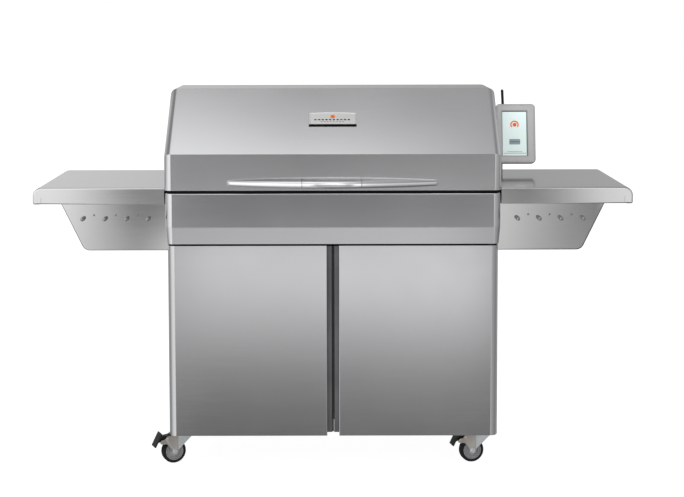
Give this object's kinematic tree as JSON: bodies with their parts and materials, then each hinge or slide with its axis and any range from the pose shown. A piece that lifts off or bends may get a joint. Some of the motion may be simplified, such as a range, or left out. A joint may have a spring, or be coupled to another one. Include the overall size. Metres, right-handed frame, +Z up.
{
  "type": "pellet smoker grill",
  "caption": "Free-standing stainless pellet smoker grill: hinged hood over a firebox, doored cabinet on casters, side shelves, touch-screen controller and a rear pellet hopper.",
  "frame": {"origin": "on the floor under the middle of the bounding box", "axes": "+Z up, +X to the right of someone facing the grill, the front faces -Y"},
  "size_m": [1.94, 0.838, 1.23],
  "materials": {
    "brushed_stainless": "brushed stainless sheet",
    "polished_stainless": "polished stainless",
    "dark_steel": "heat-darkened or grey painted steel",
    "zinc_plated_steel": "zinc-plated steel",
    "cast_iron": "raw dark iron",
    "silver_paint": "silver satin paint",
    "screen_glass": "lit touch screen",
    "black_rubber": "heat-proof seal",
    "tyre_rubber": "moulded rubber tread",
    "grey_plastic": "moulded grey plastic",
    "black_plastic": "moulded black plastic"
  },
  "bodies": {
    "cart": {"auger_motor": "dark_steel", "auger_tube": "zinc_plated_steel", "base_rail_left": "dark_steel", "base_rail_right": "dark_steel", "blower_housing": "black_plastic", "body_shell": "brushed_stainless", "cabinet_back": "brushed_stainless", "cabinet_floor": "brushed_stainless", "cabinet_side_left": "brushed_stainless", "cabinet_side_right": "brushed_stainless", "controller_arm": "silver_paint", "controller_housing": "silver_paint", "cooking_grate_left": "polished_stainless", "cooking_grate_right": "polished_stainless", "drip_tray": "dark_steel", "fire_pot": "cast_iron", "firebox_liner": "dark_steel", "grease_bucket": "zinc_plated_steel", "heat_deflector": "dark_steel", "hood_gasket": "black_rubber", "hood_hinge_left": "dark_steel", "hood_hinge_right": "dark_steel", "hopper_bin": "zinc_plated_steel", "igniter_rod": "polished_stainless", "power_inlet": "black_plastic", "rear_cover": "brushed_stainless", "shelf_bracket_left": "brushed_stainless", "shelf_bracket_right": "brushed_stainless", "shelf_top_left": "brushed_stainless", "shelf_top_right": "brushed_stainless", "temperature_probe": "polished_stainless", "tool_hooks_left": "polished_stainless", "tool_hooks_right": "polished_stainless", "touch_screen": "screen_glass"},
    "hood": {"hood_shell": "brushed_stainless", "hood_handle": "polished_stainless", "hood_badge": "silver_paint"},
    "door_left": {"door_left_skin": "brushed_stainless", "door_left_pan": "dark_steel"},
    "door_right": {"door_right_skin": "brushed_stainless", "door_right_pan": "dark_steel"},
    "hopper_lid": {"hopper_lid": "brushed_stainless"},
    "auger": {"auger_screw": "cast_iron"},
    "fan": {"fan_wheel": "grey_plastic"},
    "power_switch": {"power_rocker": "black_plastic"},
    "antenna": {"antenna": "black_plastic"},
    "caster_front_left": {"caster_fork_front_left": "zinc_plated_steel"},
    "wheel_front_left": {"wheel_tyre_front_left": "tyre_rubber", "wheel_hub_front_left": "grey_plastic"},
    "pedal_front_left": {"brake_pedal_front_left": "black_plastic"},
    "caster_front_right": {"caster_fork_front_right": "zinc_plated_steel"},
    "wheel_front_right": {"wheel_tyre_front_right": "tyre_rubber", "wheel_hub_front_right": "grey_plastic"},
    "pedal_front_right": {"brake_pedal_front_right": "black_plastic"},
    "caster_rear_left": {"caster_fork_rear_left": "zinc_plated_steel"},
    "wheel_rear_left": {"wheel_tyre_rear_left": "tyre_rubber", "wheel_hub_rear_left": "grey_plastic"},
    "caster_rear_right": {"caster_fork_rear_right": "zinc_plated_steel"},
    "wheel_rear_right": {"wheel_tyre_rear_right": "tyre_rubber", "wheel_hub_rear_right": "grey_plastic"}
  },
  "joints": [
    {"name": "hood_hinge", "type": "hinge", "parent": "cart", "child": "hood", "pos_m": [0, 0.2665, 0.91], "axis": [-1, 0, 0], "range_deg": [0, 85]},
    {"name": "door_left_hinge", "type": "hinge", "parent": "cart", "child": "door_left", "pos_m": [-0.512, -0.305, 0.4], "axis": [0, 0, -1], "range_deg": [0, 105]},
    {"name": "door_right_hinge", "type": "hinge", "parent": "cart", "child": "door_right", "pos_m": [0.512, -0.305, 0.4], "axis": [0, 0, 1], "range_deg": [0, 105]},
    {"name": "hopper_lid_slide", "type": "slide", "parent": "cart", "child": "hopper_lid", "axis": [1, 0, 0], "range_m": [0, 0.195]},
    {"name": "auger_spin", "type": "hinge", "parent": "cart", "child": "auger", "pos_m": [0, 0.2, 0.708], "axis": [0, 1, 0], "continuous": true},
    {"name": "fan_spin", "type": "hinge", "parent": "cart", "child": "fan", "pos_m": [-0.3, 0.32, 0.708], "axis": [0, 1, 0], "continuous": true},
    {"name": "power_rocker_tilt", "type": "hinge", "parent": "cart", "child": "power_switch", "pos_m": [0.315, 0.411, 0.36], "axis": [1, 0, 0], "range_deg": [0, 14]},
    {"name": "antenna_tilt", "type": "hinge", "parent": "cart", "child": "antenna", "pos_m": [0.606, 0.244, 1.139], "axis": [-1, 0, 0], "range_deg": [0, 90]},
    {"name": "caster_front_left_swivel", "type": "hinge", "parent": "cart", "child": "caster_front_left", "pos_m": [-0.494, -0.24, 0.1], "axis": [0, 0, 1], "continuous": true},
    {"name": "wheel_front_left_spin", "type": "hinge", "parent": "caster_front_left", "child": "wheel_front_left", "pos_m": [-0.52923, -0.25424, 0.04], "axis": [-0.3746, 0.9272, 0], "continuous": true},
    {"name": "pedal_front_left_press", "type": "hinge", "parent": "caster_front_left", "child": "pedal_front_left", "pos_m": [-0.55149, -0.26323, 0.086], "axis": [0.3746, -0.9272, 0], "range_deg": [0, 10]},
    {"name": "caster_front_right_swivel", "type": "hinge", "parent": "cart", "child": "caster_front_right", "pos_m": [0.494, -0.24, 0.1], "axis": [0, 0, 1], "continuous": true},
    {"name": "wheel_front_right_spin", "type": "hinge", "parent": "caster_front_right", "child": "wheel_front_right", "pos_m": [0.45683, -0.2479, 0.04], "axis": [-0.2079, 0.9781, 0], "continuous": true},
    {"name": "pedal_front_right_press", "type": "hinge", "parent": "caster_front_right", "child": "pedal_front_right", "pos_m": [0.43335, -0.25289, 0.086], "axis": [0.2079, -0.9781, 0], "range_deg": [0, 10]},
    {"name": "caster_rear_left_swivel", "type": "hinge", "parent": "cart", "child": "caster_rear_left", "pos_m": [-0.494, 0.215, 0.1], "axis": [0, 0, 1], "continuous": true},
    {"name": "wheel_rear_left_spin", "type": "hinge", "parent": "caster_rear_left", "child": "wheel_rear_left", "pos_m": [-0.53153, 0.22094, 0.04], "axis": [0.1564, 0.9877, 0], "continuous": true},
    {"name": "caster_rear_right_swivel", "type": "hinge", "parent": "cart", "child": "caster_rear_right", "pos_m": [0.494, 0.215, 0.1], "axis": [0, 0, 1], "continuous": true},
    {"name": "wheel_rear_right_spin", "type": "hinge", "parent": "caster_rear_right", "child": "wheel_rear_right", "pos_m": [0.45614, 0.21169, 0.04], "axis": [-0.0872, 0.9962, 0], "continuous": true}
  ]
}
